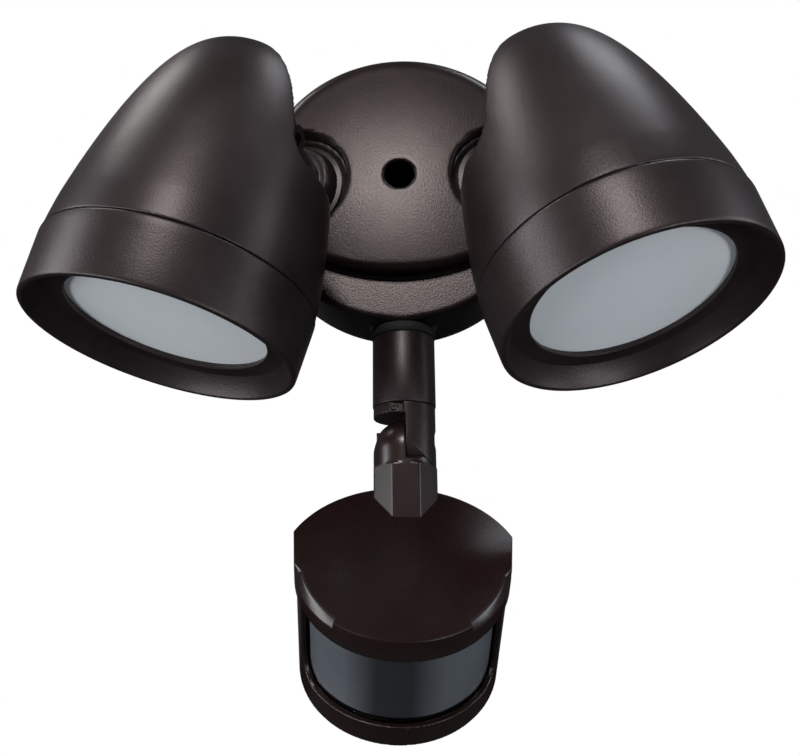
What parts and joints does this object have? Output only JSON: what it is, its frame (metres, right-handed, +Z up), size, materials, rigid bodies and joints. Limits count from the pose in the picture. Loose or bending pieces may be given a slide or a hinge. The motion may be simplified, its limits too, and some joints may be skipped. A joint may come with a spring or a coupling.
{
  "type": "security light",
  "caption": "Wall security light with two tilting bullet-shaped lamp heads and a motion sensor hanging on a jointed stem.",
  "frame": {"origin": "middle of the two strap slots, on the canopy's axis, in the plane of the wall", "axes": "+X to the right as seen from the front, +Y into the wall, +Z up"},
  "size_m": [0.2497, 0.1344, 0.276],
  "materials": {
    "bronze_cast": "satin",
    "sensor_plastic": "gloss",
    "smoked_window": "gloss",
    "zinc_steel": "satin",
    "green_screw": "satin",
    "driver_case": "matte",
    "black_rubber": "matte",
    "frosted_lens": "frosted",
    "white_reflector": "satin",
    "led_board_white": "satin",
    "led_yellow": "satin",
    "bare_aluminium": "satin",
    "circuit_board": "satin",
    "dial_black": "matte"
  },
  "bodies": {
    "base": {"canopy": "bronze_cast", "wall_gasket": "black_rubber", "mounting_strap": "zinc_steel", "mounting_bolt": "zinc_steel", "ground_screw": "green_screw", "driver_box": "driver_case", "driver_screws": "zinc_steel", "stem_gasket": "black_rubber", "stem_tube": "bronze_cast", "stem_nut": "zinc_steel"},
    "left_arm_body": {"left_arm": "bronze_cast", "left_arm_washer": "zinc_steel", "left_arm_nut": "zinc_steel"},
    "left_head": {"left_head_shell": "bronze_cast", "left_front_ring": "bronze_cast", "left_ring_seal": "black_rubber", "left_lens": "frosted_lens", "left_lens_gasket": "black_rubber", "left_reflector": "white_reflector", "left_led_board": "led_board_white", "left_leds": "led_yellow", "left_heat_sink": "bare_aluminium", "left_sink_screws": "zinc_steel", "left_pivot_bolt": "zinc_steel", "left_pivot_washer": "zinc_steel"},
    "right_arm_body": {"right_arm": "bronze_cast", "right_arm_washer": "zinc_steel", "right_arm_nut": "zinc_steel"},
    "right_head": {"right_head_shell": "bronze_cast", "right_front_ring": "bronze_cast", "right_ring_seal": "black_rubber", "right_lens": "frosted_lens", "right_lens_gasket": "black_rubber", "right_reflector": "white_reflector", "right_led_board": "led_board_white", "right_leds": "led_yellow", "right_heat_sink": "bare_aluminium", "right_sink_screws": "zinc_steel", "right_pivot_bolt": "zinc_steel", "right_pivot_washer": "zinc_steel"},
    "knuckle": {"stem_knuckle": "bronze_cast", "stem_set_screw": "zinc_steel", "hinge_screw": "zinc_steel", "hinge_nut": "zinc_steel"},
    "sensor": {"sensor_head": "sensor_plastic", "sensor_bezel": "sensor_plastic", "sensor_window": "smoked_window", "sensor_board": "circuit_board", "pir_detector": "zinc_steel", "sensor_base": "sensor_plastic", "sensor_screws": "zinc_steel"},
    "time_dial_body": {"time_dial": "dial_black"},
    "range_dial_body": {"range_dial": "dial_black"}
  },
  "joints": [
    {"name": "left_arm_swivel", "type": "hinge", "parent": "base", "child": "left_arm_body", "pos_m": [-0.0433, -0.0265, 0], "axis": [0.2419, 0.9703, 0], "range_deg": [-17, 48]},
    {"name": "left_head_tilt", "type": "hinge", "parent": "left_arm_body", "child": "left_head", "pos_m": [-0.05322, -0.06628, 0], "axis": [-0.9484, 0.2365, 0.2113], "range_deg": [-1, 77]},
    {"name": "right_arm_swivel", "type": "hinge", "parent": "base", "child": "right_arm_body", "pos_m": [0.0433, -0.0265, 0], "axis": [0.2419, -0.9703, 0], "range_deg": [-16, 49]},
    {"name": "right_head_tilt", "type": "hinge", "parent": "right_arm_body", "child": "right_head", "pos_m": [0.05322, -0.06628, 0], "axis": [-0.9518, -0.2373, -0.1942], "range_deg": [-7, 71]},
    {"name": "sensor_swivel", "type": "hinge", "parent": "base", "child": "knuckle", "pos_m": [0, -0.0165, -0.093], "axis": [0, 0, 1], "range_deg": [-44, 36]},
    {"name": "sensor_tilt", "type": "hinge", "parent": "knuckle", "child": "sensor", "pos_m": [0, -0.0165, -0.1065], "axis": [-0.9973, -0.0732, 0], "range_deg": [0, 36]},
    {"name": "time_dial_turn", "type": "hinge", "parent": "sensor", "child": "time_dial_body", "pos_m": [-0.01464, -0.01307, -0.19763], "axis": [0.0794, -0.7555, 0.6503], "range_deg": [-135, 135]},
    {"name": "range_dial_turn", "type": "hinge", "parent": "sensor", "child": "range_dial_body", "pos_m": [0.00729, -0.01146, -0.19843], "axis": [0.0794, -0.7555, 0.6503], "range_deg": [-135, 135]}
  ]
}
